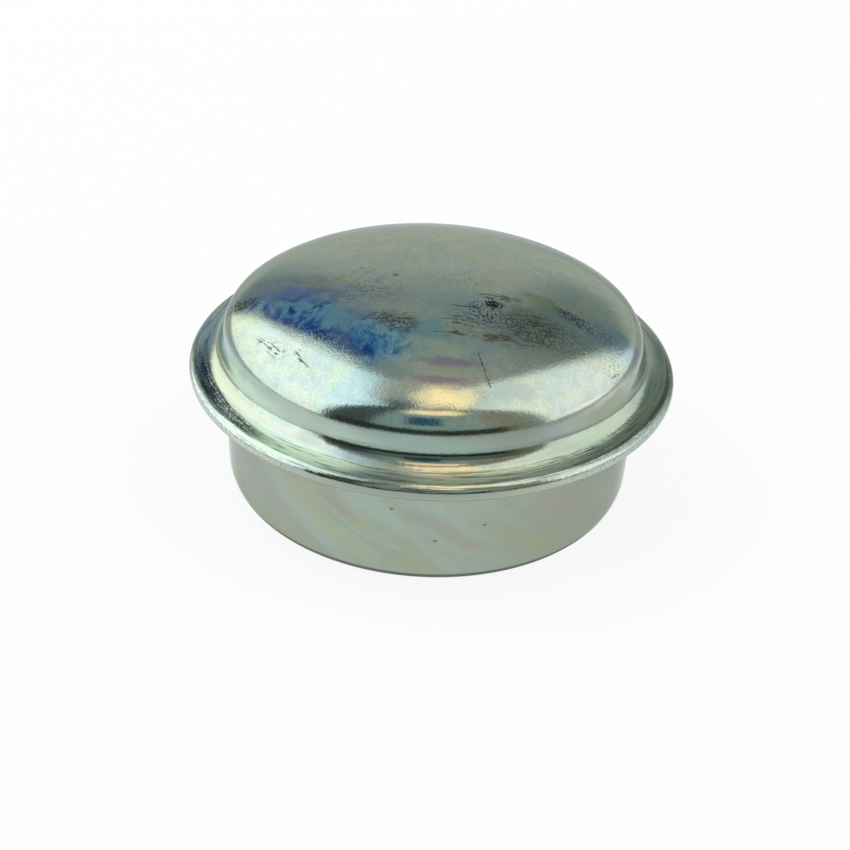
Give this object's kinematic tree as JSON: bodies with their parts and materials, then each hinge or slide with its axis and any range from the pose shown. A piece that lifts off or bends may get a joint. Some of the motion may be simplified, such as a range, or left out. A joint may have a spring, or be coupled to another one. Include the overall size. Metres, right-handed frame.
{
  "type": "hub grease cap",
  "caption": "Round drawn-steel hub grease cap: domed top with a rounded shoulder, folded flange and plain press-in skirt with a turned-in lower edge.",
  "frame": {"origin": "middle of the open lower end, on the cap's axis", "axes": "+Z along the cap's axis, from the open end towards the crown; X and Y across it"},
  "size_m": [0.058, 0.058, 0.0265],
  "materials": {
    "zinc_plated_steel": "bright zinc plate with a faint green, yellow and lilac bloom, blue stains on the crown, and handling scratches"
  },
  "bodies": {
    "root": {"grease_cap": "zinc_plated_steel"}
  },
  "joints": []
}
